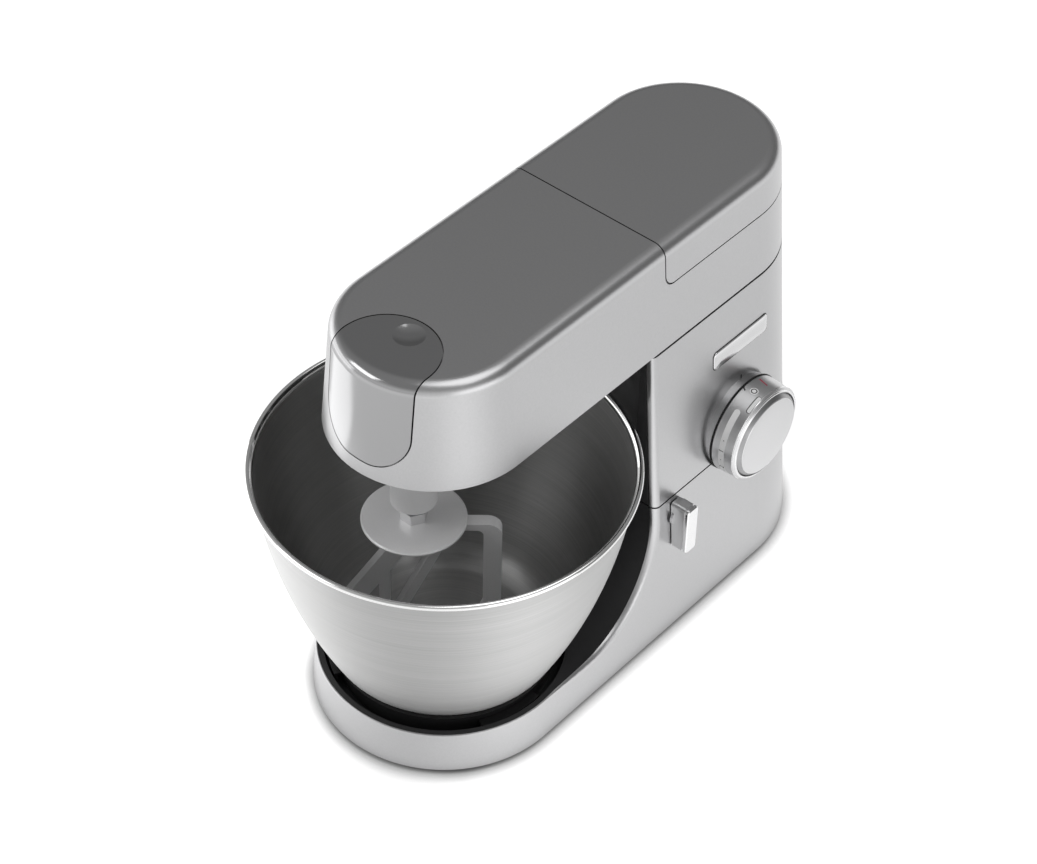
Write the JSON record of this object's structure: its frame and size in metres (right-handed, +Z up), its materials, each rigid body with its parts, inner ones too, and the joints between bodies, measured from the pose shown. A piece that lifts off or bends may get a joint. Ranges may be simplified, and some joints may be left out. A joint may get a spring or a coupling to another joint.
{
  "type": "stand mixer",
  "caption": "Tilting-head stand mixer with a steel bowl, planetary drive with a K-shaped beater, side speed dial, head-lift lever and two covered power outlets.",
  "frame": {"origin": "on the table, under the bowl's axis, at the underside of the middle foot", "axes": "+Z up, +Y from the bowl to the column, +X towards the side with the dial and the lever"},
  "size_m": [0.2362, 0.4197, 0.305],
  "materials": {
    "body_silver": "satin",
    "cover_silver": "satin",
    "liner_dark": "matte",
    "foot_black": "matte",
    "bowl_steel": "brushed",
    "bright_trim": "polished",
    "satin_plastic": "satin",
    "tool_aluminium": "satin",
    "drive_steel": "machined",
    "chassis_cast": "as cast",
    "gear_plastic": "matte",
    "rubber_black": "matte",
    "copper_coil": "enamelled",
    "stator_iron": "laminated",
    "carbon_black": "matte",
    "board_green": "matte"
  },
  "bodies": {
    "stand": {"base_casting": "body_silver", "base_plate": "liner_dark", "rubber_feet": "rubber_black", "base_screws": "drive_steel", "bowl_well_liner": "liner_dark", "bowl_seat": "foot_black", "hinge_pin": "drive_steel", "cord_gland": "foot_black"},
    "head": {"head_casing": "body_silver", "head_underside": "liner_dark", "skirt_ring": "tool_aluminium", "motor_housing": "body_silver", "housing_front_panel": "liner_dark", "tilt_bracket": "chassis_cast", "latch_keeper": "drive_steel", "gearbox_case": "chassis_cast", "ring_gear": "drive_steel", "main_bearings": "drive_steel", "slow_outlet_collar": "drive_steel", "high_speed_collar": "drive_steel", "motor_stator": "stator_iron", "field_coils": "copper_coil", "motor_brackets": "chassis_cast", "motor_mounts": "rubber_black", "brush_holders": "gear_plastic", "carbon_brushes": "carbon_black", "control_board": "board_green", "speed_pot": "carbon_black", "drive_belt": "rubber_black", "dial_bezel": "liner_dark", "underside_screws": "drive_steel"},
    "lever": {"lever_handle": "satin_plastic", "lever_face": "bright_trim", "lever_shaft": "drive_steel"},
    "bowl": {"mixing_bowl": "bowl_steel", "bowl_foot_ring": "foot_black"},
    "front_cover": {"front_outlet_cover": "cover_silver"},
    "rear_cover": {"rear_outlet_cover": "cover_silver"},
    "dial": {"dial_knob": "satin_plastic", "dial_cap": "bright_trim"},
    "planet": {"planet_hub": "tool_aluminium", "planet_shaft": "drive_steel", "main_gear": "drive_steel"},
    "tool": {"tool_socket": "tool_aluminium", "tool_spindle": "drive_steel", "planet_pinion": "drive_steel", "beater_shaft": "drive_steel", "beater_frame": "tool_aluminium", "splash_disc": "tool_aluminium", "height_nut": "bright_trim"},
    "idler": {"idler_cluster": "gear_plastic"},
    "input": {"input_shaft": "drive_steel", "input_pulley": "chassis_cast"},
    "outlet": {"outlet_drive": "drive_steel"},
    "rotor": {"motor_shaft": "drive_steel", "armature_core": "stator_iron", "commutator": "copper_coil", "cooling_fan": "gear_plastic", "motor_pulley": "chassis_cast", "high_speed_coupling": "gear_plastic"}
  },
  "joints": [
    {"name": "head_tilt", "type": "hinge", "parent": "stand", "child": "head", "pos_m": [0, 0.262, 0.112], "axis": [-1, 0, 0], "range_deg": [0, 35]},
    {"name": "head_lift_lever", "type": "hinge", "parent": "stand", "child": "lever", "pos_m": [0.075, 0.1314, 0.096], "axis": [1, 0, 0], "range_deg": [0, 35], "stiffness_Nm_per_rad": 0.2},
    {"name": "bowl_twist", "type": "hinge", "parent": "stand", "child": "bowl", "pos_m": [0, 0, 0.03], "axis": [0, 0, 1], "range_deg": [0, 30]},
    {"name": "speed_dial", "type": "hinge", "parent": "head", "child": "dial", "pos_m": [0.085, 0.196, 0.13], "axis": [-1, 0, 0], "range_deg": [-30, 240]},
    {"name": "front_cover_off", "type": "slide", "parent": "head", "child": "front_cover", "axis": [0, -0.7071, 0.7071], "range_m": [0, 0.08]},
    {"name": "rear_cover_off", "type": "slide", "parent": "head", "child": "rear_cover", "axis": [0, 0, 1], "range_m": [0, 0.1]},
    {"name": "planet_spin", "type": "hinge", "parent": "head", "child": "planet", "pos_m": [0, 0, 0.23], "axis": [0, 0, 1], "continuous": true},
    {"name": "tool_spin", "type": "hinge", "parent": "planet", "child": "tool", "pos_m": [0.00445, -0.03169, 0.2], "axis": [0, 0, 1], "continuous": true},
    {"name": "idler_spin", "type": "hinge", "parent": "head", "child": "idler", "pos_m": [0, 0.053, 0.262], "axis": [0, 0, 1], "continuous": true},
    {"name": "input_spin", "type": "hinge", "parent": "head", "child": "input", "pos_m": [0, 0.093, 0.27], "axis": [0, 0, 1], "continuous": true},
    {"name": "outlet_spin", "type": "hinge", "parent": "head", "child": "outlet", "pos_m": [0, 0, 0.279], "axis": [0, -1, 0], "continuous": true},
    {"name": "motor_spin", "type": "hinge", "parent": "head", "child": "rotor", "pos_m": [0, 0.2, 0.2], "axis": [0, 0, 1], "continuous": true}
  ],
  "couplings": [
    {"joint": "tool_spin", "follows": "planet_spin", "ratio": -3.6667},
    {"joint": "idler_spin", "follows": "planet_spin", "ratio": -3.8182},
    {"joint": "input_spin", "follows": "planet_spin", "ratio": 11.455},
    {"joint": "outlet_spin", "follows": "planet_spin", "ratio": 1},
    {"joint": "motor_spin", "follows": "planet_spin", "ratio": 45.818}
  ]
}
